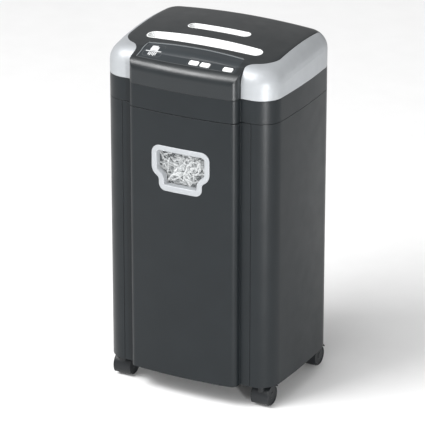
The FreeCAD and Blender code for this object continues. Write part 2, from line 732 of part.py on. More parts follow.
def button_place(x):
    """Placement of a button's base: its cap stands proud of the panel."""
    foot = Vector(x, S.button_y, deck_height(x, S.button_y))
    lift = S.button_proud - S.panel_recess - S.button_tall
    return Placement(foot + hood_normal() * lift, Rotation(Vector(1, 0, 0), S.hood_slope))


def head_covers():
    """Lower housing, top cover, shoulder caps, control panel and the two liners."""
    low = S.head_bottom
    step = S.cap_bottom - 0.5
    ring = prism(cabinet_plan(), low, step).fuse(prism(bulge_plan(), low, step))
    well = prism(cabinet_plan(S.wall), low + S.wall, step + 1)
    well = well.fuse(prism(bulge_plan(S.wall), low + S.wall, step + 1))
    housing = ring.cut(well)
    exit_gap = block((-S.frame_x + 2, S.frame_x - 2),
                     (S.nip_y - S.exit_half, S.nip_y + S.exit_half), (0, BIG))
    wide = S.inlet_half + 0.2
    tall = S.inlet_tall + 0.2
    inlet_gap = block((S.inlet_x - wide, S.inlet_x + wide), (S.back_y - 6, BIG),
                      (S.inlet_z - tall, S.inlet_z + tall))
    housing = housing.cut(exit_gap).cut(inlet_gap)
    solid("head_housing", one(housing.removeSplitter()))

    outside = head_block(0, S.cap_bottom)
    inside = head_block(S.wall, S.cap_bottom - 10)
    shell = outside.cut(inside)
    cover = shell.common(prism(cover_plan(S.joint_gap / 2), 0, BIG))
    for tool in (slot_plan(0), disc_plan(0)):
        cover = cover.cut(prism(tool, low, BIG))
    cover = cover.cut(prism(panel_plan(0), low, BIG))
    solid("top_cover", one(cover))

    outer_ring = prism(cover_plan(-S.joint_gap / 2), 0, BIG)
    for side, name in ((-1, "left_shoulder_cap"), (1, "right_shoulder_cap")):
        half = block(sorted((0, side * BIG)), (-BIG, BIG), (0, BIG))
        cap = shell.common(half).cut(outer_ring)
        solid(name, one(cap))

    upper = head_block(S.panel_recess, S.cap_bottom - 5)
    lower = head_block(S.panel_recess + S.panel_plate, S.cap_bottom - 12)
    panel = upper.cut(lower).common(prism(panel_plan(0.25), low, BIG))
    wide = S.button_width / 2 + S.button_gap
    deep = S.button_depth / 2 + S.button_gap
    for place_name in BUTTONS.values():
        gap = block((-wide, wide), (-deep, deep), (-BIG, BIG))
        gap.Placement = button_place(getattr(S, place_name))
        panel = panel.cut(gap)
    solid("control_panel", one(panel))

    liner("paper_throat", outside, slot_plan, S.slot_y - 2, S.slot_mouth,
          S.slot_half - 5, S.slot_exit)
    liner("disc_throat", outside, disc_plan, S.disc_y - 6, S.disc_mouth,
          S.disc_half - 4, S.disc_exit)


def liner(name, outside, plan, mouth_y, mouth, half, bottom):
    """A funnel: full outline at the roof, narrowing to a slit at its foot."""
    outer = prism(plan(0.25), bottom, BIG).common(outside)
    foot = bottom + S.funnel_foot
    back_y = mouth_y + mouth
    funnel = tapered(plan, foot, mouth_y, back_y)
    slit = block((-half, half), (mouth_y, back_y), (bottom - 1, BIG))
    solid(name, one(outer.cut(funnel.fuse(slit)).removeSplitter()))


def tapered(plan, foot, mouth_front, mouth_back):
    """The funnel's inside: upright at the top, then two long planes that close on the slit."""
    head = S.crown_top + 2
    shape = prism(plan(S.liner_wall), foot, head)
    front = shape.BoundBox.YMin
    back = shape.BoundBox.YMax
    knee = head - S.funnel_deep
    corners = [(front, knee), (front, head), (back, head), (back, knee), (mouth_back, foot),
               (mouth_front, foot), (front, knee)]
    wedge = Part.Face(Part.makePolygon([Vector(-BIG, y, z) for y, z in corners]))
    return shape.common(wedge.extrude(Vector(2 * BIG, 0, 0)))


def controls():
    """Three push buttons and the board with their switches."""
    for name, place_name in BUTTONS.items():
        half_x = "button_width / 2"
        half_y = "button_depth / 2"
        cap = padded(name, "XY_Plane", [
            (f"-{half_x}", f"-{half_y}"), (half_x, f"-{half_y}"),
            (half_x, half_y), (f"-{half_x}", half_y)], "button_tall")
        cap = softened(cap, f"{name}_corners", "button_round", lambda edge: upright(edge, 3))
        cap = softened(cap, f"{name}_rim", "button_edge",
                       lambda edge: edge.BoundBox.ZMin > S.button_tall - 0.01)
        cap.Placement = button_place(getattr(S, place_name))
        keep(cap, name)

    middle = (S.start_x + S.reverse_x) / 2
    place = button_place(middle)
    board = block((-S.board_half, S.board_half), (-S.board_deep, S.board_deep),
                  (S.board_low, S.board_high))
    for place_name in BUTTONS.values():
        spot = getattr(S, place_name)
        x = spot - middle
        drop = (deck_height(spot, S.button_y) - deck_height(middle, S.button_y)) * hood_normal().z
        key = block((x - S.switch_half, x + S.switch_half), (-S.switch_half, S.switch_half),
                    (S.board_high, min(drop, 0) - S.switch_gap))
        board = board.fuse(key)
    board = board.removeSplitter()
    board.Placement = place
    solid("control_board", one(board))


# ---------------------------------------------------------------- gears

def gear(teeth, module, thickness, bore, turn, slack=0.16):
    """A spur gear along X from x = 0, with involute flanks and a tooth aimed at +Y."""
    pitch = teeth * module / 2
    base = pitch * math.cos(math.radians(20))
    tip = pitch + module * 0.92
    root = pitch - module * 1.22
    half_angle = math.pi / (2 * teeth) - slack / (2 * pitch)
    spread = math.tan(math.acos(base / pitch)) - math.acos(base / pitch)

    def flank(radius):
        lean = math.acos(min(base / radius, 1))
        return half_angle + spread - (math.tan(lean) - lean)

    start = max(base, root)
    radii = [start + (tip - start) * step / 3 for step in range(4)]
    corners = []
    for tooth in range(int(teeth)):
        aim = 2 * math.pi * tooth / teeth + turn
        rising = [(r, aim - flank(r)) for r in radii]
        falling = [(r, aim + flank(r)) for r in reversed(radii)]
        edge = flank(start) + 0.01
        corners += [(root, aim - edge), *rising, *falling, (root, aim + edge)]
    points = [Vector(0, r * math.cos(a), r * math.sin(a)) for r, a in corners]
    face = Part.Face(Part.makePolygon([*points, points[0]]))
    wheel = face.extrude(Vector(thickness, 0, 0))
    return wheel.cut(bar(bore, (1, 0, 0), (-1, 0, 0), thickness + 2))


# ---------------------------------------------------------------- cutting unit

def shaft_centres():
    """Centres of the two cutter shafts, in Y and Z."""
    half = S.shaft_spacing / 2
    return (S.nip_y - half, S.cutter_z), (S.nip_y + half, S.cutter_z)


def idler_centre():
    """Centre of the idler, up and behind the rear cutter shaft."""
    reach = (S.drive_teeth + S.idler_pinion_teeth) * S.drive_module / 2
    aim = math.radians(S.idler_climb)
    y, z = shaft_centres()[1]
    return y + reach * math.cos(aim), z + reach * math.sin(aim)


def motor_centre():
    """Centre of the motor, behind and below the idler."""
    reach = (S.idler_teeth + S.motor_teeth) * S.motor_module / 2
    aim = -math.radians(S.motor_drop)
    y, z = idler_centre()
    return y + reach * math.cos(aim), z + reach * math.sin(aim)


def cutter(name, centre, shift, end):
    """A cutting cylinder: a stack of toothed discs turned from one bar."""
    y, z = centre
    count = int(2 * S.cutter_reach / S.disc_pitch) + (1 if shift == 0 else 0)
    half = S.disc_thick / 2
    drum = S.drum_half
    points = [(-S.shaft_left, 0), (-S.shaft_left, S.journal), (-drum, S.journal),
              (-drum, S.cutter_core)]
    for index in range(count):
        x = -S.cutter_reach + shift + index * S.disc_pitch
        points += [(x - half, S.cutter_core), (x - half, S.cutter_disc),
                   (x + half, S.cutter_disc), (x + half, S.cutter_core)]
    points += [(drum, S.cutter_core), (drum, S.journal), (end, S.journal), (end, 0), points[0]]
    profile = Part.Face(Part.makePolygon([Vector(x, r, 0) for x, r in points]))
    roller = profile.revolve(Vector(), Vector(1, 0, 0), 360)
    notches = []
    bed = S.cutter_disc - S.tooth_deep
    rim = S.cutter_disc + 1
    left = -drum - 1
    tooth = Part.Face(Part.makePolygon([Vector(left, bed, 0), Vector(left, rim, -S.tooth_back),
                                        Vector(left, rim, S.tooth_wide), Vector(left, bed, 0)]))
    for index in range(int(S.cutter_teeth)):
        notch = tooth.extrude(Vector(-2 * left, 0, 0))
        notch.rotate(Vector(), Vector(1, 0, 0), 360 / S.cutter_teeth * index + S.tooth_turn)
        notches.append(notch)
    roller = roller.cut(Part.makeCompound(notches))
    roller.translate(Vector(0, y, z))
    solid(name, one(roller))


def comb(name, centre, side, shift):
    """A stripper comb: a bar with a finger in each groove of its cutter."""
    y, z = centre
    near = y + side * (S.cutter_disc + S.comb_gap)
    far = near + side * S.comb_thick
    bar_shape = block((-S.frame_x, S.frame_x), sorted((near, far)),
                      (z - S.comb_half, z + S.comb_half))
    tips = sorted((near, y + side * (S.cutter_core + 1)))
    count = int(2 * S.cutter_reach / S.disc_pitch)
    for index in range(count):
        x = -S.cutter_reach + shift + (index + 0.5) * S.disc_pitch
        finger = block((x - S.finger_half, x + S.finger_half), tips,
                       (z - S.finger_tall, z + S.finger_tall))
        bar_shape = bar_shape.fuse(finger)
    solid(name, one(bar_shape.removeSplitter()))


def cutting_unit():
    """Frame plates, tie rods, bushes, two cutters with combs, the gear train and motor."""
    front, rear = shaft_centres()
    idler = idler_centre()
    motor = motor_centre()
    floor = S.head_bottom + S.wall
    for side, name, back in ((-1, "left_frame_plate", "nip_y + left_plate_back"),
                             (1, "right_frame_plate", "nip_y + right_plate_back")):
        ahead = "nip_y - plate_front"
        plate = padded(f"{name}_blank", "YZ_Plane", [
            (ahead, floor), (back, floor), (back, "frame_top"), (ahead, "frame_top")],
            "frame_plate")
        start = S.frame_x if side > 0 else -S.frame_x - S.frame_plate
        plate.Placement = Placement(Vector(start, 0, 0), Rotation())
        holes = []
        for index, (y, z) in enumerate((front, rear)):
            holes.append(rod(f"{name}_hole_{index}", "bush", "x", (start - 1, y, z), "plate_bore"))
        for index, (y, z) in enumerate(rod_places()):
            holes.append(rod(f"{name}_rod_hole_{index}", "tie_neck", "x", (start - 1, y, z), "plate_bore"))
        if side > 0:
            holes.append(rod("idler_hole", "idler_pin", "x", (start - 1, *idler), "plate_bore"))
            holes.append(rod("motor_hole", "motor_boss", "x", (start - 1, *motor), "plate_bore"))
        keep(cut(f"{name}_cut", plate, *holes), name)

    rods = []
    for index, (y, z) in enumerate(rod_places()):
        body = rod(f"tie_body_{index}", "tie_rod", "x", ("-frame_x", y, z), "2 * frame_x")
        neck = rod(f"tie_end_{index}", "tie_neck", "x", ("-frame_x - frame_plate - tie_end", y, z),
                   "2 * (frame_x + frame_plate + tie_end)")
        rods.append(fuse(f"tie_rod_{index}", body, neck))
    group("tie_rods", *rods)

    bushes = []
    for side in (-1, 1):
        for index, (y, z) in enumerate((front, rear)):
            tag = f"{'left' if side < 0 else 'right'}_{index}"
            left = "frame_x - bush_in" if side > 0 else "-frame_x - frame_plate - bush_out"
            length = "frame_plate + bush_in + bush_out"
            ring = rod(f"bush_{tag}", "bush", "x", (left, y, z), length)
            hole = rod(f"bush_bore_{tag}", "journal + fit", "x", (left, y, z), length)
            bushes.append(cut(f"shaft_bush_{tag}", ring, hole))
    group("shaft_bushes", *bushes)

    cutter("front_cutter", front, 0, S.front_shaft_end)
    cutter("rear_cutter", rear, S.disc_pitch / 2, S.rear_shaft_end)
    comb("front_comb", front, -1, 0)
    comb("rear_comb", rear, 1, S.disc_pitch / 2)
    gear_train(front, rear, idler, motor)
    drive_motor(motor)


def rod_places():
    """Places of the tie rods, clear of the cutters, in Y and Z."""
    low = S.cutter_z - S.cutter_core - 1
    high = S.cutter_z + S.cutter_disc + 1
    return [(S.nip_y + reach, z) for z in (low, high) for reach in (-S.tie_reach, S.tie_reach)]


def gear_train(front, rear, idler, motor):
    """Two equal gears tie the cutters; a compound idler brings the motor's turn to them."""
    first = S.frame_x + S.frame_plate + 3
    second = first + S.gear_face + 1.5
    third = second + S.gear_face + 2
    place_gear("rear_sync_gear", S.sync_teeth, S.sync_module, S.gear_face, S.journal,
               math.pi, first, rear)
    place_gear("front_sync_gear", S.sync_teeth, S.sync_module, S.gear_face, S.journal,
               math.pi / S.sync_teeth, first, front)
    climb = math.radians(S.idler_climb)
    place_gear("drive_gear", S.drive_teeth, S.drive_module, S.gear_face, S.journal,
               climb, second, rear)
    y, z = idler
    bore = S.idler_pin + S.fit
    pinion_turn = climb + math.pi + math.pi / S.idler_pinion_teeth
    pinion = gear(S.idler_pinion_teeth, S.drive_module, third - second, bore, pinion_turn)
    pinion.translate(Vector(second, y, z))
    drop = -math.radians(S.motor_drop)
    wheel = gear(S.idler_teeth, S.motor_module, S.wheel_face, bore, drop)
    wheel.translate(Vector(third, y, z))
    solid("idler_gear", one(pinion.fuse(wheel)))
    pin_length = third + S.wheel_face + 2 - S.frame_x
    pin = rod("idler_pin_rod", "idler_pin", "x", ("frame_x", y, z), pin_length)
    keep(pin, "idler_pin")
    place_gear("motor_pinion", S.motor_teeth, S.motor_module, S.wheel_face, S.motor_shaft,
               drop + math.pi + math.pi / S.motor_teeth, third, motor)


def place_gear(name, teeth, module, face, bore, turn, x, centre):
    """A gear with its near face at x on a shaft's centre."""
    wheel = gear(teeth, module, face, bore, turn)
    wheel.translate(Vector(x, *centre))
    solid(name, one(wheel))


def drive_motor(centre):
    """Motor case bolted to the right-hand plate, with its rotor and fan."""
    y, z = centre
    end = S.frame_x
    start = end - S.motor_length
    case = rod("case_outer", "motor_case", "x", (start, y, z), "motor_length")
    room = rod("case_room", "motor_case - case_wall", "x", (start + S.case_wall, y, z),
               "motor_length - 2 * case_wall")
    hole = rod("case_bore", "motor_shaft + fit", "x", (start - 1, y, z), "motor_length + 2")
    keep(cut("motor_case_solid", case, room, hole), "motor_case")
    tail = start - S.rotor_tail
    shaft = rod("rotor_shaft", "motor_shaft", "x", (tail, y, z), S.rotor_end - tail)
    core = rod("rotor_core", "motor_case - core_gap", "x", (start + S.core_end, y, z),
               "motor_length - 2 * core_end")
    keep(fuse("rotor_solid", shaft, core), "motor_rotor")

    fan = bar(S.fan_hub, (1, 0, 0), (0, 0, 0), S.fan_wide)
    for index in range(int(S.fan_blades)):
        blade = block((1, S.fan_wide - 1), (S.fan_hub - 1, S.fan_reach),
                      (-S.fan_thick / 2, S.fan_thick / 2))
        blade.rotate(Vector(S.fan_wide / 2, 0, 0), Vector(0, 1, 0), S.fan_twist)
        blade.rotate(Vector(), Vector(1, 0, 0), 360 / S.fan_blades * index)
        fan = fan.fuse(blade)
    fan = fan.cut(bar(S.motor_shaft, (1, 0, 0), (-1, 0, 0), S.fan_wide + 2))
    fan.translate(Vector(start - S.fan_start, y, z))
    solid("motor_fan", one(fan.removeSplitter()))


# ---------------------------------------------------------------- electrics

def electrics():
    """Mains inlet at the back and the power board inside."""
    floor = S.head_bottom + S.wall
    x = S.inlet_x
    z = S.inlet_z
    back = S.back_y
    wide = S.inlet_half
    tall = S.inlet_tall
    inner = back - S.inlet_deep
    flange = block((x - wide, x + wide), (inner, back), (z - tall, z + tall))
    wide -= S.inlet_wall
    tall -= S.inlet_wall
    socket = block((x - wide, x + wide), (inner + S.inlet_back, BIG), (z - tall, z + tall))
    inlet = flange.cut(socket)
    for dx, dz in ((-7, -1.5), (7, -1.5), (0, 2.5)):
        blade = block((x + dx - S.pin_half_x, x + dx + S.pin_half_x),
                      (inner + S.pin_start, back - S.pin_tip),
                      (z + dz - S.pin_half_z, z + dz + S.pin_half_z))
        inlet = inlet.fuse(blade)
    solid("power_inlet", one(inlet.removeSplitter()))

    top = floor + S.power_thick
    board = block((S.power_left, S.power_right), (S.power_near, S.power_far), (floor, top))
    # transformer, capacitor and relay: place of a corner on the board, width, depth and height
    for left, near, width, depth, height in ((4, 6, 28, 30, 23), (42, 10, 16, 34, 15),
                                             (66, 6, 18, 16, 15)):
        corner_x = S.power_left + left
        corner_y = S.power_near + near
        board = board.fuse(block((corner_x, corner_x + width), (corner_y, corner_y + depth),
                                 (top, top + height)))
    solid("power_board", one(board.removeSplitter()))


# ---------------------------------------------------------------- build and export

def check_document():
    """Stop at any object that failed to recompute and any sub-part that is not sound."""
    for item in doc.Objects:
        if {"Invalid", "Error"} & set(item.State):
            raise RuntimeError(f"{item.Name}: {item.State}")
    for part in subparts:
        if part.Shape.isNull() or not part.Shape.isValid():
            raise RuntimeError(f"{part.Label}: bad shape")


cabinet()
casters()
drawer()
head_covers()
controls()
cutting_unit()
electrics()
doc.recompute()
check_document()
os.makedirs("parts", exist_ok=True)
for part in subparts:
    part.Shape.exportStep(f"parts/{part.Label}.step")
print(len(subparts), "sub-parts")
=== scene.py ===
import json
import math
import random

import bmesh
import bpy
from mathutils import Matrix, Quaternion, Vector
from mathutils.bvhtree import BVHTree


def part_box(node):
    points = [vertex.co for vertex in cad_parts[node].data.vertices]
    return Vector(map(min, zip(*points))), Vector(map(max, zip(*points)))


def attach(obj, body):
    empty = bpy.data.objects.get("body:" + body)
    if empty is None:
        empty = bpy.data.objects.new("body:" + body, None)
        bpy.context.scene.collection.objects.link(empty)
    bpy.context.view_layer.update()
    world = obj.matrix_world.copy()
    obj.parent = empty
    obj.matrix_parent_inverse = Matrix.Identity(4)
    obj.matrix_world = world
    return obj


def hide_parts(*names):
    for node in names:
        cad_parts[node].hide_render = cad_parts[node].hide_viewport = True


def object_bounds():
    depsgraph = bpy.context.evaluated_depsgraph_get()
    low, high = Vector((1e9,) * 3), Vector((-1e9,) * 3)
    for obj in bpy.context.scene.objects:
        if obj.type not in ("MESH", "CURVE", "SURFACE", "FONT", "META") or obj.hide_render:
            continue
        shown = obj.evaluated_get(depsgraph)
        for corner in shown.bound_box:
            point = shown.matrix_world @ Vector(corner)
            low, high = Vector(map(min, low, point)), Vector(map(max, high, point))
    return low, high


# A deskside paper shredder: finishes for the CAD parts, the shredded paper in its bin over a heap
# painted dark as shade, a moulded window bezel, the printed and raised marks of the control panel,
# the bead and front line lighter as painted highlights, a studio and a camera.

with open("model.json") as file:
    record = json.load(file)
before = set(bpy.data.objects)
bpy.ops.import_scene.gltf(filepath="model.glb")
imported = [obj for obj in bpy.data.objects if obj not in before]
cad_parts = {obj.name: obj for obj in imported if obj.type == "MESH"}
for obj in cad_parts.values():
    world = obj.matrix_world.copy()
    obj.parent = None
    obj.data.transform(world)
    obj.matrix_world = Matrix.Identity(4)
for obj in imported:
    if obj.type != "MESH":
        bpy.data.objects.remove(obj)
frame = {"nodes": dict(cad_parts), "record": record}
CAD_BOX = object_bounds()
nodes = frame["nodes"]
MM = 0.001
rng = random.Random(41)


# ---------------------------------------------------------------- node helpers

def field(tree, coords, scale, detail, stretch=(1, 1, 1)):
    """Noise in the object's own space, in features per metre."""
    mapping = tree.nodes.new("ShaderNodeMapping")
    mapping.inputs["Scale"].default_value = stretch
    tree.links.new(coords, mapping.inputs["Vector"])
    texture = tree.nodes.new("ShaderNodeTexNoise")
    texture.inputs["Scale"].default_value = scale
    texture.inputs["Detail"].default_value = detail
    tree.links.new(mapping.outputs["Vector"], texture.inputs["Vector"])
    return texture.outputs["Fac"]


def spread(tree, value, span, target):
    """Map one range of a value onto another."""
    node = tree.nodes.new("ShaderNodeMapRange")
    node.inputs["From Min"].default_value, node.inputs["From Max"].default_value = span
    node.inputs["To Min"].default_value, node.inputs["To Max"].default_value = target
    tree.links.new(value, node.inputs["Value"])
    return node.outputs["Result"]


def tint(tree, factor, low, high):
    """Mix two colours, or a colour over another socket, by a factor."""
    mix = tree.nodes.new("ShaderNodeMix")
    mix.data_type = "RGBA"
    for socket, colour in (("A", low), ("B", high)):
        if isinstance(colour, tuple):
            mix.inputs[socket].default_value = (*colour, 1)
        else:
            tree.links.new(colour, mix.inputs[socket])
    tree.links.new(factor, mix.inputs["Factor"])
    return mix.outputs["Result"]


def lit(colour, gain):
    """A colour made lighter or darker."""
    return tuple(min(channel * gain, 1.0) for channel in colour)


MIDDLE = (0.3, 0.7)
EDGE = (0.52, 0.60)
FACING_UP = (0.6, 1.0)
DUST_COLOUR = (0.35, 0.35, 0.34)


def surface(name, base, rough, *, vary=0.08, mottle=14.0, grain=900.0, depth=4e-5,
            stretch=(1, 1, 1), wear=0.0, dust=0.0, edge_round=0.0, **sockets):
    """A finish: mottled colour, uneven gloss, fine grain, eased edges, wear and dust."""
    material = bpy.data.materials.new(name)
    material.use_nodes = True
    tree = material.node_tree
    shader = tree.nodes["Principled BSDF"]
    coords = tree.nodes.new("ShaderNodeTexCoord").outputs["Object"]
    cloud = field(tree, coords, mottle, 4.0, stretch)
    share = spread(tree, cloud, MIDDLE, (0, 1))
    colour = tint(tree, share, lit(base, 1 - vary), lit(base, 1 + vary))
    if wear:
        edge = tree.nodes.new("ShaderNodeNewGeometry").outputs["Pointiness"]
        keen = spread(tree, edge, EDGE, (0, wear))
        colour = tint(tree, keen, colour, lit(tuple(c + 0.02 for c in base), 1.8))
    if dust:
        up = tree.nodes.new("ShaderNodeNewGeometry").outputs["Normal"]
        split = tree.nodes.new("ShaderNodeSeparateXYZ")
        tree.links.new(up, split.inputs["Vector"])
        lying = spread(tree, split.outputs["Z"], FACING_UP, (0, dust))
        patchy = tree.nodes.new("ShaderNodeMath")
        patchy.operation = "MULTIPLY"
        tree.links.new(lying, patchy.inputs[0])
        tree.links.new(field(tree, coords, mottle * 4, 5.0), patchy.inputs[1])
        colour = tint(tree, patchy.outputs["Value"], colour, DUST_COLOUR)
    tree.links.new(colour, shader.inputs["Base Color"])
    patches = field(tree, coords, mottle * 2.3, 5.0, stretch)
    gloss = spread(tree, patches, MIDDLE, (rough * 0.9, rough * 1.12))
    tree.links.new(gloss, shader.inputs["Roughness"])
    bump = tree.nodes.new("ShaderNodeBump")
    if edge_round:
        eased = tree.nodes.new("ShaderNodeBevel")
        eased.samples = 6
        eased.inputs["Radius"].default_value = edge_round
        tree.links.new(eased.outputs["Normal"], bump.inputs["Normal"])
    bump.inputs["Strength"].default_value = 0.6
    bump.inputs["Distance"].default_value = depth
    tree.links.new(field(tree, coords, grain, 2.0, stretch), bump.inputs["Height"])
    tree.links.new(bump.outputs["Normal"], shader.inputs["Normal"])
    for socket, amount in sockets.items():
        shader.inputs[socket.replace("_", " ")].default_value = amount
    return material


SATIN = {"dust": 0.04, "edge_round": 0.0012}
FINISH = {
    "body_plastic": surface("charcoal_body", (0.0098, 0.0124, 0.0142), 0.34, **SATIN,
                            Specular_IOR_Level=0.24),
    "cover_plastic": surface("charcoal_cover", (0.0105, 0.0132, 0.0150), 0.32, **SATIN,
                             Specular_IOR_Level=0.44),
    "panel_plastic": surface("panel_satin", (0.022, 0.027, 0.031), 0.34, grain=1500, depth=2e-5,
                             edge_round=0.0012),
    "silver_plastic": surface("silver_lacquer", (0.35, 0.365, 0.38), 0.48, vary=0.03, mottle=30,
                              grain=2600, depth=4e-6, edge_round=0.0015, Metallic=0.25),
    "white_plastic": surface("white_satin", (0.93, 0.94, 0.94), 0.38, vary=0.02,
                             edge_round=0.0008),
    "clear_window": surface("clear_sheet", (0.30, 0.32, 0.33), 0.06, vary=0.03, mottle=40,
                            grain=300, depth=1e-5, Alpha=0.16),
    "bin_plastic": surface("bin_black", (0.010, 0.011, 0.012), 0.55, depth=8e-5),
    "paper": surface("office_paper", (0.70, 0.71, 0.71), 0.85, vary=0.08, mottle=90, grain=2500),
    "caster_plastic": surface("caster_nylon", (0.0105, 0.0120, 0.0135), 0.42, edge_round=0.0008,
                              Specular_IOR_Level=0.3),
    "steel": surface("ground_steel", (0.50, 0.51, 0.52), 0.34, grain=1200, stretch=(1, 12, 1),
                     wear=0.2, Metallic=1.0),
    "bronze": surface("sintered_bronze", (0.50, 0.34, 0.16), 0.45, grain=3000, Metallic=0.9),
    "gear_plastic": surface("acetal", (0.72, 0.70, 0.64), 0.40, vary=0.04),
    "board": surface("circuit_board", (0.03, 0.16, 0.07), 0.35, mottle=60),
    "inlet_plastic": surface("inlet_black", (0.012, 0.012, 0.013), 0.45),
}
SLOT_OF = {row["node"]: row["material_slot"] for row in frame["record"]["subparts"]}


def dress_cad_nodes():
    """Give every CAD node the finish of its slot."""
    for name, node in nodes.items():
        node.data.materials.clear()
        node.data.materials.append(FINISH[SLOT_OF[name]])


def linked(name, data):
    """A new object in the scene."""
    made = bpy.data.objects.new(name, data)
    bpy.context.scene.collection.objects.link(made)
    return made


def piece(name, mesh, body, slot, finish=None):
    """A new object that rides on a CAD body, in the finish given, or else in a record slot's
    finish.
    """
    made = linked(name, mesh)
    mesh.materials.append(finish or FINISH[slot])
    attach(made, body)
    return made


def into_mesh(made, name):
    """The mesh of a bmesh, which is freed."""
    mesh = bpy.data.meshes.new(name)
    made.to_mesh(mesh)
    made.free()
    return mesh


def closed_mesh(made, name):
    """The mesh of a bmesh, with its faces turned outward."""
    bmesh.ops.recalc_face_normals(made, faces=made.faces)
    return into_mesh(made, name)


def smooth(mesh, angle=math.radians(40)):
    """Smooth shading with creases where faces meet sharply."""
    mesh.shade_smooth()
    mesh.set_sharp_from_angle(angle=angle)


# ---------------------------------------------------------------- the front's bulge and window

# Sizes of the machine's front, as the CAD part has them, in millimetres.
BULGE_HALF, BULGE_FRONT, BULGE_BOW, BULGE_CORNER = 112.2, -141.5, 5.6, 13.0
WINDOW_HALF, LOW_HALF = 60.2, 44.8
ROUND, LOW_ROUND, HIP, WAIST = 17.0, 14.0, 21.0, 9.0
BAND, SILL = 11.5, 12.5
bezel_low, bezel_high = (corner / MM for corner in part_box("window_bezel"))
WINDOW_BOTTOM, WINDOW_TOP = bezel_low.z, bezel_high.z
SHOULDER = WINDOW_TOP - 42.6
LEAST_ROUND = 4.0


def bulge_y(x):
    """The bulge's front surface over a place across the machine."""
    half = BULGE_HALF - BULGE_CORNER
    radius = (half ** 2 + BULGE_BOW ** 2) / (2 * BULGE_BOW)
    return BULGE_FRONT + radius - math.sqrt(radius ** 2 - x ** 2)


def arc(centre, radius, start, end, steps):
    """Points of an arc between two angles in degrees."""
    places = []
    for step in range(steps + 1):
        angle = math.radians(start + (end - start) * step / steps)
        places.append((centre[0] + radius * math.cos(angle), centre[1] + radius * math.sin(angle)))
    return places


def window_loop(inset):
    """The window's outline set in by a distance, as (x, z) clockwise from the top's middle."""
    wide, low = WINDOW_HALF - inset, LOW_HALF - inset
    top = WINDOW_TOP - inset
    bottom = WINDOW_BOTTOM + SILL * inset / BAND
    upper = max(ROUND - inset, LEAST_ROUND)
    lower = max(LOW_ROUND - inset, LEAST_ROUND)
    aside = LOW_HALF + WAIST - (WINDOW_HALF - HIP)
    touch = math.degrees(math.acos(aside / (HIP + WAIST)))
    hip = (WINDOW_HALF - HIP, SHOULDER)
    waist = (hip[0] + aside, SHOULDER - (HIP + WAIST) * math.sin(math.radians(touch)))
    right = [(0, top), (wide * 0.35, top)]
    right += arc((wide - upper, top - upper), upper, 90, 0, 8)
    right += arc(hip, HIP - inset, 0, -touch, 8)
    right += arc(waist, WAIST + inset, 180 - touch, 180, 6)[1:]
    right += arc((low - lower, bottom + lower), lower, 0, -90, 8)
    right += [(low * 0.35, bottom), (0, bottom)]
    left = [(-x, z) for x, z in reversed(right[1:-1])]
    return right + left


def bezel():
    """The silver window frame: a rounded outer lip, a flat face and steep inner walls."""
    # pairs of a distance in from the outline and a height over the bulge's face
    profile = [(0.0, -0.9), (0.0, 0.2), (0.3, 0.65), (0.9, 0.95), (2.0, 1.0), (6.0, 0.95),
               (9.2, 0.75), (10.0, 0.45), (10.5, -0.2), (10.9, -3.0), (11.5, -11.4),
               (9.0, -11.4), (1.2, -1.2)]
    made = bmesh.new()
    rings = []
    for inset, proud in profile:
        loop = window_loop(inset)
        rings.append([made.verts.new((x * MM, (bulge_y(x) - proud) * MM, z * MM))
                      for x, z in loop])
    count = len(rings[0])
    for index, ring in enumerate(rings):
        after = rings[(index + 1) % len(rings)]
        for spot in range(count):
            nearby = (spot + 1) % count
            made.faces.new((ring[spot], ring[nearby], after[nearby], after[spot]))
    mesh = closed_mesh(made, "bezel_ring")
    smooth(mesh, math.radians(50))
    ring = piece("window_frame", mesh, "drawer", "silver_plastic")
    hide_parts("window_bezel")


# ---------------------------------------------------------------- shredded paper

paper_low, paper_high = (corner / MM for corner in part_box("shredded_paper"))
bin_low, bin_high = (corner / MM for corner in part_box("waste_bin"))
lens_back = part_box("window_lens")[1].y / MM
HEAP_HALF = 112.0
HEAP_FRONT = -91.0
SHELF, KNEE, KNEE_DROP, END_DROP = 20.0, 90.0, 129.0, 183.0
WINDOW_STRIPS, HEAP_STRIPS = 300, 1350
PAPER_THICK = 0.12
CORE_BELOW, CORE_BUMP = 7.0, 4.0
# limits for the strips: beside the window's tunnel, just behind the lens, and inside the bin
TUNNEL_HALF = WINDOW_HALF - 4
NEAREST, FARTHEST = lens_back + 0.7, bin_high.y - 5
HIGHEST = bin_high.z - 8


def held(value, low, high):
    """A value kept between two limits."""
    return min(max(value, low), high)


def heap_height(y):
    """Height of the heap over a place along the bin."""
    top = paper_high.z
    knots = [(HEAP_FRONT, top), (HEAP_FRONT + SHELF, top), (HEAP_FRONT + KNEE, top - KNEE_DROP),
             (paper_high.y, top - END_DROP)]
    for (y0, z0), (y1, z1) in zip(knots, knots[1:]):
        if y <= y1:
            share = max((y - y0) / (y1 - y0), 0)
            return z0 + (z1 - z0) * share
    return knots[-1][1]


def ribbon(made, centre, turn, length, width, curl, twist):
    """One strip of paper: a bent and twisted ribbon, kept inside the bin and its tunnel."""
    steps = 8
    last = None
    for step in range(steps + 1):
        along = step / steps - 0.5
        angle = curl * along
        if abs(curl) > 0.05:
            reach = length / curl
            place = Vector((reach * math.sin(angle), 0, reach * (1 - math.cos(angle))))
        else:
            place = Vector((length * along, 0, 0))
        lean = Matrix.Rotation(-angle, 3, "Y") @ Matrix.Rotation(twist * along, 3, "X")
        side = lean @ Vector((0, width / 2, 0))
        pair = []
        for corner in (place - side, place + side):
            spot = centre + turn @ corner
            spot.x = held(spot.x, -HEAP_HALF, HEAP_HALF)
            if spot.y < HEAP_FRONT:
                spot.x = held(spot.x, -TUNNEL_HALF, TUNNEL_HALF)
                spot.z = held(spot.z, WINDOW_BOTTOM + 1, WINDOW_TOP - 1)
            spot.y = held(spot.y, NEAREST, FARTHEST)
            spot.z = min(spot.z, HIGHEST)
            pair.append(made.verts.new(spot * MM))
        if last:
            made.faces.new((last[0], last[1], pair[1], pair[0]))
        last = pair


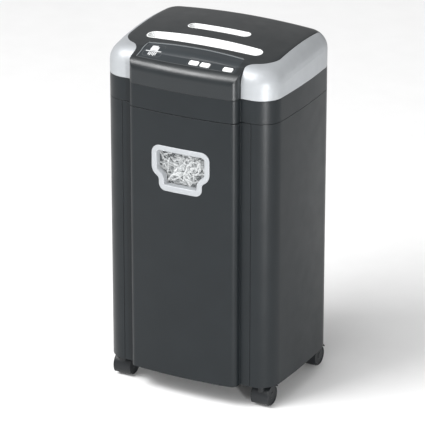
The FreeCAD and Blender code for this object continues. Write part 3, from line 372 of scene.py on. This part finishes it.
def random_turn(flat):
    """A random direction; flat keeps a strip nearly in the plane that faces the window."""
    spin = Quaternion((0, 1, 0), rng.uniform(0, 2 * math.pi))
    tip = Quaternion((1, 0, 0), rng.gauss(math.pi / 2, flat))
    roll = Quaternion((0, 0, 1), rng.gauss(0, flat))
    return (spin @ tip @ roll).to_matrix()


def shreds():
    """Cross-cut strips packed behind the window and strewn over the heap."""
    made = bmesh.new()
    for _ in range(WINDOW_STRIPS):
        x = rng.uniform(-50, 50)
        z = rng.uniform(WINDOW_BOTTOM + 8, WINDOW_TOP - 14)
        # two corners of the window stay sparse, so that the heap, painted dark as shade, shows
        # between the strips
        upper_left = x < -18 and z > WINDOW_TOP - 36
        lower_right = x > 22 and WINDOW_BOTTOM + 12 < z < WINDOW_BOTTOM + 36
        if (upper_left or lower_right) and rng.random() < 0.72:
            continue
        y = lens_back + 2.5 + 17 * rng.random() ** 1.3
        ribbon(made, Vector((x, y, z)), random_turn(0.45), rng.uniform(16, 30),
               rng.uniform(2.2, 3.4), rng.uniform(-2.6, 2.6), rng.uniform(-1.8, 1.8))
    for _ in range(HEAP_STRIPS):
        x = rng.uniform(-106, 106)
        y = rng.uniform(HEAP_FRONT + 2, bin_high.y - 8)
        z = heap_height(y) + rng.uniform(-9, 9)
        spin = Quaternion((0, 0, 1), rng.uniform(0, 2 * math.pi))
        lean = Quaternion((1, 0, 0), rng.gauss(0, 0.5))
        ribbon(made, Vector((x, y, z)), (spin @ lean).to_matrix(), rng.uniform(24, 46),
               rng.uniform(2.8, 3.9), rng.uniform(-2.4, 2.4), rng.uniform(-1.2, 1.2))
    bmesh.ops.recalc_face_normals(made, faces=made.faces)
    bmesh.ops.solidify(made, geom=made.faces[:], thickness=PAPER_THICK * MM)
    mesh = into_mesh(made, "strips")
    smooth(mesh)
    strips = piece("shredded_strips", mesh, "drawer", "paper")
    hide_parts("shredded_paper")


def heap_core():
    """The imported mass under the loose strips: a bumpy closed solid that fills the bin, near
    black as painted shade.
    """
    across, along = 44, 44
    made = bmesh.new()
    floor = bin_low.z + 3
    back = bin_high.y - 4
    grid = []
    for row in range(along + 1):
        y = HEAP_FRONT + (back - HEAP_FRONT) * row / along
        line = []
        for column in range(across + 1):
            x = -HEAP_HALF + 2 * HEAP_HALF * column / across
            z = heap_height(y) - CORE_BELOW + rng.uniform(-CORE_BUMP, CORE_BUMP)
            line.append(made.verts.new((x * MM, y * MM, z * MM)))
        grid.append(line)
    for near, far in zip(grid, grid[1:]):
        for column in range(across):
            made.faces.new((near[column], near[column + 1], far[column + 1], far[column]))
    rim = [edge for edge in made.edges if edge.is_boundary]
    skirt = bmesh.ops.extrude_edge_only(made, edges=rim)
    lowered = [item for item in skirt["geom"] if isinstance(item, bmesh.types.BMVert)]
    for vertex in lowered:
        vertex.co.z = floor * MM
    bmesh.ops.holes_fill(made, edges=[edge for edge in made.edges if edge.is_boundary])
    bmesh.ops.triangulate(made, faces=[face for face in made.faces if len(face.verts) > 4])
    # painted shade: the heap's paper is near black, standing in for the shade inside the bin
    # behind the strips
    shade = surface("paper_painted_as_shade", (0.05, 0.05, 0.052), 0.9, vary=0.3, mottle=220, grain=900,
                    depth=4e-4)
    piece("shredded_heap", closed_mesh(made, "heap"), "drawer", "paper", shade)


# ---------------------------------------------------------------- marks on the control panel

BUTTON_Y = -113.2
ABOVE_ALL = 1000.0
SEARCH_STEP = 0.25
INK = (-0.1, 0.25)
PANEL_TREE = BVHTree.FromObject(nodes["control_panel"], bpy.context.evaluated_depsgraph_get())


def on_panel(x, y):
    """Where a plumb line meets the control panel, and the face's normal; None beside it."""
    start = Vector((x, y, ABOVE_ALL)) * MM
    spot, normal, _, _ = PANEL_TREE.ray_cast(start, Vector((0, 0, -1)))
    return None if spot is None else (spot / MM, normal)


def first_on_panel(x, y, stride_x, stride_y):
    """Walk from a place beside the panel to the first place on it."""
    while on_panel(x, y) is None:
        x += stride_x
        y += stride_y
    return x, y


def deck(x, y, lift):
    """A point of the control panel's sloped face, lifted along its normal."""
    spot, normal = on_panel(x, y)
    return spot + normal * lift


def bar_along(made, points, width, low, high):
    """A thin raised bar that follows points given as (x, y) on the panel."""
    rows = []
    for index, (x, y) in enumerate(points):
        before = points[max(index - 1, 0)]
        after = points[min(index + 1, len(points) - 1)]
        heading = Vector((after[0] - before[0], after[1] - before[1]))
        normal = Vector((-heading.y, heading.x)).normalized() * width / 2
        row = []
        for side in (-1, 1):
            for lift in (low, high):
                spot = deck(x + side * normal.x, y + side * normal.y, lift)
                row.append(made.verts.new(spot * MM))
        rows.append((row[0], row[1], row[3], row[2]))
    for near, far in zip(rows, rows[1:]):
        for spot in range(4):
            nearby = (spot + 1) % 4
            made.faces.new((near[spot], near[nearby], far[nearby], far[spot]))
    made.faces.new(rows[0])
    made.faces.new(tuple(reversed(rows[-1])))


def plate(made, corners, low, high):
    """A thin flat mark with straight sides."""
    bottom = [made.verts.new(deck(x, y, low) * MM) for x, y in corners]
    top = [made.verts.new(deck(x, y, high) * MM) for x, y in corners]
    made.faces.new(bottom)
    made.faces.new(tuple(reversed(top)))
    for index in range(len(corners)):
        nearby = (index + 1) % len(corners)
        made.faces.new((bottom[index], top[index], top[nearby], bottom[nearby]))


def panel_marks():
    """A printed picture of a sheet that goes into a slot and comes out as strips."""
    made = bmesh.new()
    middle, slot = -76.0, -101.0
    sheet = [(middle, slot + 1.5 + 1.5 * step) for step in range(7)]
    sheet_end = [(middle - 2, slot + 10.5 + 1.5 * step) for step in range(4)]
    bar_along(made, sheet, 16, *INK)
    bar_along(made, sheet_end, 12, *INK)
    for index in range(5):
        left = middle - 8 + index * 3.5
        right = left + 2
        top = slot - 1.8
        tail = slot - 9 - 1.5 * (index % 2)
        plate(made, [(left, tail), (right, tail), (right, top), (left, top)], *INK)
    bar_along(made, [(middle - 16, slot), (middle, slot), (middle + 16, slot)], 1.3, *INK)
    printed = surface("grey_print", (0.62, 0.63, 0.64), 0.5, vary=0.05, mottle=200)
    piece("panel_print", closed_mesh(made, "print"), "cabinet", "white_plastic", printed)


def rounded_line(corners, radius):
    """Corner points turned into a closed line with rounded corners, as (x, y)."""
    line = []
    count = len(corners)
    for index, corner in enumerate(corners):
        here = Vector(corner)
        into = (Vector(corners[index - 1]) - here).normalized() * radius
        away = (Vector(corners[(index + 1) % count]) - here).normalized() * radius
        for step in range(5):
            share = step / 4
            line.append(tuple(here + into * (1 - share) ** 2 + away * share ** 2))
    return line + line[:1]


def panel_bead():
    """The rounded bead along the left and back edges of the panel's recess, lighter grey than the
    panel as a painted highlight of the recess's edges.
    """
    beside, behind = -106.0, -70.0
    near, far, across = -119.0, -81.0, 197.0
    line = []
    for step in range(9):
        y = near + (far - near) * step / 8
        x, _ = first_on_panel(beside, y, SEARCH_STEP, 0)
        line.append((x + 1.0, y))
    corner = line[-1][0] + 1.0
    for step in range(33):
        x = corner + across * step / 32
        _, y = first_on_panel(x, behind, 0, -SEARCH_STEP)
        line.append((x, y - 1.0))
    made = bmesh.new()
    bar_along(made, line, 1.3, -0.2, 1.3)
    # painted highlight: the bead's light grey stands in for light caught on the recess's left and
    # back edges
    bead = surface("bead_painted_highlight", (0.20, 0.215, 0.225), 0.34, vary=0.05)
    piece("panel_bead", closed_mesh(made, "bead"), "cabinet", "panel_plastic", bead)


def panel_lines():
    """The raised line along the panel's front edge, whose lighter grey is a painted highlight of
    the recess's front edge, and those round the buttons and the mark, in the same grey.
    """
    half, ahead = 99.0, -130.0
    front = []
    for step in range(33):
        x = -half + 2 * half * step / 32
        _, y = first_on_panel(x, ahead, 0, SEARCH_STEP)
        front.append((x, y + 0.8))
    buttons = [(2, BUTTON_Y - 7.5), (97.5, BUTTON_Y - 7), (97.5, BUTTON_Y + 9.5),
               (50, BUTTON_Y + 10.5), (2, BUTTON_Y + 10.5)]
    mark = [(-95, -114), (-57, -114), (-57, -83.5), (-95, -83.5)]
    made = bmesh.new()
    # painted highlight: the front bar is lighter grey than the panel, standing in for light caught
    # on the recess's front edge
    bar_along(made, front, 0.9, -0.2, 1.3)
    bar_along(made, rounded_line(buttons, 5), 0.7, -0.1, 0.35)
    bar_along(made, rounded_line(mark, 7), 0.7, -0.1, 0.3)
    line = surface("panel_line_and_painted_highlight", (0.085, 0.09, 0.094), 0.34, vary=0.05)
    piece("button_line", closed_mesh(made, "line"), "cabinet", "panel_plastic", line)


# ---------------------------------------------------------------- stage

LAMP_TARGET = Vector((0, 0, 0.4))
SUN_SIDE = Vector((-0.30, -0.62, 1.0))


def outward(azimuth, elevation):
    """The direction from the machine to a place round it, in degrees, the front being 0."""
    turn, rise = math.radians(azimuth), math.radians(elevation)
    return Vector((math.sin(turn) * math.cos(rise), -math.cos(turn) * math.cos(rise),
                   math.sin(rise)))


def lamp(name, azimuth, elevation, distance, size, radiance):
    """A softbox aimed at the machine's middle from a direction in degrees."""
    light = bpy.data.lights.new(name, "AREA")
    light.shape = "RECTANGLE"
    light.size, light.size_y = size
    light.energy = radiance * math.pi * size[0] * size[1]
    holder = linked(name, light)
    away = outward(azimuth, elevation)
    holder.location = LAMP_TARGET + away * distance
    holder.rotation_euler = away.to_track_quat("Z", "Y").to_euler()
    holder.visible_camera = False


def studio_floor():
    """A pale matt floor that reaches far beyond the picture."""
    reach = 14.0
    mesh = bpy.data.meshes.new("floor")
    mesh.from_pydata([(-reach, -reach, 0), (reach, -reach, 0), (reach, reach, 0),
                      (-reach, reach, 0)], [], [(0, 1, 2, 3)])
    mesh.materials.append(surface("floor_paint", (0.90, 0.90, 0.90), 0.8, vary=0.01,
                                  Specular_IOR_Level=0.1))
    linked("floor", mesh)


def studio_lights():
    """Soft surroundings, a wide high sun and two softboxes."""
    world = bpy.data.worlds.new("studio")
    bpy.context.scene.world = world
    world.use_nodes = True
    background = world.node_tree.nodes["Background"]
    background.inputs["Color"].default_value = (1, 1, 1, 1)
    background.inputs["Strength"].default_value = 0.44

    sun = bpy.data.lights.new("skylight", "SUN")
    sun.energy = 1.6
    sun.angle = math.radians(50)
    high = linked("skylight", sun)
    high.rotation_euler = SUN_SIDE.to_track_quat("Z", "Y").to_euler()
    lamp("roll_light", -37, 46, 2.6, (1.5, 0.8), 15)
    lamp("corner_light", 46, -1, 2.4, (0.12, 0.66), 190)
    bpy.context.scene.view_settings.view_transform = "Standard"


def photographer():
    """A long lens from the front right, above the machine."""
    back = outward(27.8, 22.4)
    right = Vector((-back.y, back.x, 0)).normalized()
    up = back.cross(right)
    lens = bpy.data.cameras.new("camera")
    lens.sensor_width = 36
    lens.lens = 271.0588
    lens.clip_end = 100
    eye = linked("camera", lens)
    low, high = CAD_BOX
    # the machine stands a little right of the picture's middle, and a little above it
    aim = (low + high) / 2 - 0.0061 * right - 0.0150 * up
    eye.location = aim + back * 6.04
    eye.rotation_euler = back.to_track_quat("Z", "Y").to_euler()
    bpy.context.scene.camera = eye


dress_cad_nodes()
bezel()
heap_core()
shreds()
panel_marks()
panel_bead()
panel_lines()
studio_floor()
studio_lights()
photographer()
